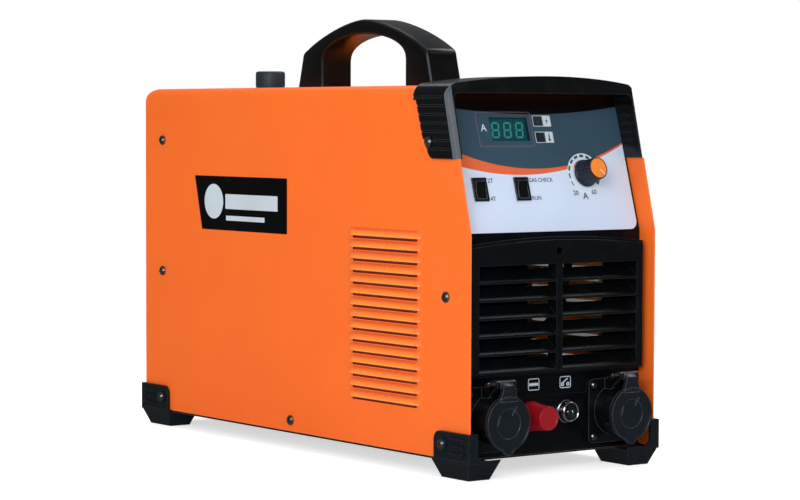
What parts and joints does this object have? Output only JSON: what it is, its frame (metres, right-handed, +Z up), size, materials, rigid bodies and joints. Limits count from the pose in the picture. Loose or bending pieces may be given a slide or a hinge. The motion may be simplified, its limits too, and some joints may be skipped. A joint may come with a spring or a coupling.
{
  "type": "air plasma cutter power unit",
  "caption": "Portable inverter plasma cutter: orange sheet steel case, black plastic front with control slope, grille and capped sockets, arched top handle, moulded feet and rear air regulator.",
  "frame": {"origin": "centre of the overall box on the ground that the feet stand on", "axes": "+X to the right seen from the front, +Y to the back, +Z up"},
  "size_m": [0.2162, 0.614, 0.3943],
  "materials": {
    "orange_paint": "powder coat, satin",
    "tray_steel": "powder coat, satin",
    "front_plastic": "fine texture",
    "grille_plastic": "fine texture",
    "overlay_print": "printed film",
    "visor_plastic": "fine texture",
    "foot_plastic": "moulded",
    "handle_plastic": "moulded, soft sheen",
    "steel_screw": "nickel plated",
    "circuit_board": "lacquered",
    "display_lens": "tinted window",
    "lamp_lens": "clear",
    "switch_plastic": "satin",
    "knob_plastic": "moulded",
    "knob_orange": "moulded",
    "socket_plastic": "moulded",
    "flap_plastic": "moulded",
    "brass": "turned",
    "red_plastic": "moulded",
    "nickel": "plated",
    "component_dark": "moulded",
    "capacitor_sleeve": "shrunk sleeve",
    "aluminium": "extruded",
    "copper_winding": "enamelled",
    "rocker_red": "moulded",
    "zinc_steel": "zinc plated",
    "regulator_plastic": "moulded",
    "clear_bowl": "clear polycarbonate",
    "gauge_paint": "lacquered",
    "needle_paint": "lacquered",
    "clear_lens": "clear",
    "hose_black": "extruded"
  },
  "bodies": {
    "case": {"base_tray": "tray_steel", "outer_cover": "orange_paint", "front_panel": "front_plastic", "front_grille": "grille_plastic", "control_overlay": "overlay_print", "visor": "visor_plastic", "rear_panel": "tray_steel", "foot_front_left": "foot_plastic", "foot_front_right": "foot_plastic", "foot_rear_left": "foot_plastic", "foot_rear_right": "foot_plastic", "side_screws": "steel_screw", "handle": "handle_plastic", "handle_screws": "steel_screw", "display_module": "component_dark", "display_lens": "display_lens", "indicator_lamps": "lamp_lens", "switch_housings": "switch_plastic", "potentiometer": "zinc_steel", "left_socket": "socket_plastic", "right_socket": "socket_plastic", "flap_pins": "steel_screw", "flap_springs": "steel_screw", "front_screws": "steel_screw", "socket_contacts": "brass", "torch_connector": "brass", "signal_socket": "nickel", "control_board": "circuit_board", "main_board": "circuit_board", "board_standoffs": "brass", "capacitors": "capacitor_sleeve", "heat_sinks": "aluminium", "transformer": "component_dark", "choke": "copper_winding", "fan_frame": "component_dark", "fan_guard": "zinc_steel", "solenoid_valve": "brass", "air_hose": "hose_black", "power_switch": "switch_plastic", "cord_gland": "component_dark", "regulator_bracket": "zinc_steel", "regulator_body": "regulator_plastic", "regulator_bowl": "clear_bowl", "gauge_body": "gauge_paint", "gauge_lens": "clear_lens", "inlet_fitting": "brass"},
    "dial": {"dial_shaft": "steel_screw", "current_knob": "knob_plastic", "knob_cap": "knob_orange"},
    "mode_switch_rocker": {"mode_rocker": "switch_plastic"},
    "gas_switch_rocker": {"gas_rocker": "switch_plastic"},
    "power_switch_rocker": {"power_rocker": "rocker_red"},
    "left_socket_flap": {"left_flap": "flap_plastic"},
    "right_socket_flap": {"right_flap": "flap_plastic"},
    "torch_plug_cap": {"torch_cap": "red_plastic"},
    "fan": {"fan_rotor": "component_dark"},
    "stem": {"regulator_stem": "steel_screw"},
    "pressure_knob": {"regulator_knob": "regulator_plastic"},
    "drain": {"drain_valve": "brass"},
    "needle": {"gauge_needle": "needle_paint"}
  },
  "joints": [
    {"name": "current_dial_turn", "type": "hinge", "parent": "case", "child": "dial", "pos_m": [0.0485, -0.26316, 0.25442], "axis": [0, -0.9588, 0.284], "range_deg": [0, 270]},
    {"name": "mode_rocker_tilt", "type": "hinge", "parent": "case", "child": "mode_switch_rocker", "pos_m": [-0.0697, -0.26583, 0.24186], "axis": [-1, 0, 0], "range_deg": [0, 16]},
    {"name": "gas_rocker_tilt", "type": "hinge", "parent": "case", "child": "gas_switch_rocker", "pos_m": [-0.0243, -0.26583, 0.24186], "axis": [-1, 0, 0], "range_deg": [0, 16]},
    {"name": "power_rocker_tilt", "type": "hinge", "parent": "case", "child": "power_switch_rocker", "pos_m": [-0.062, 0.221, 0.262], "axis": [-1, 0, 0], "range_deg": [0, 16]},
    {"name": "left_flap_swing", "type": "hinge", "parent": "case", "child": "left_socket_flap", "pos_m": [-0.068, -0.2995, 0.0805], "axis": [-1, 0, 0], "range_deg": [0, 110], "stiffness_Nm_per_rad": 0.008, "springref_deg": -28.65},
    {"name": "right_flap_swing", "type": "hinge", "parent": "case", "child": "right_socket_flap", "pos_m": [0.068, -0.2995, 0.0805], "axis": [-1, 0, 0], "range_deg": [0, 110], "stiffness_Nm_per_rad": 0.008, "springref_deg": -28.65},
    {"name": "torch_cap_pull", "type": "slide", "parent": "case", "child": "torch_plug_cap", "axis": [0, -1, 0], "range_m": [0, 0.03]},
    {"name": "fan_spin", "type": "hinge", "parent": "case", "child": "fan", "pos_m": [-0.028, 0.196, 0.1], "axis": [0, 1, 0], "continuous": true},
    {"name": "regulator_stem_turn", "type": "hinge", "parent": "case", "child": "stem", "pos_m": [0.066, 0.26, 0.32], "axis": [0, 0, 1], "range_deg": [-720, 720]},
    {"name": "regulator_knob_lift", "type": "slide", "parent": "stem", "child": "pressure_knob", "axis": [0, 0, 1], "range_m": [0, 0.003]},
    {"name": "drain_valve_turn", "type": "hinge", "parent": "case", "child": "drain", "pos_m": [0.066, 0.26, 0.2], "axis": [0, 0, 1], "range_deg": [0, 90]},
    {"name": "gauge_needle_swing", "type": "hinge", "parent": "case", "child": "needle", "pos_m": [0.066, 0.302, 0.28], "axis": [0, -1, 0], "range_deg": [0, 270]}
  ]
}
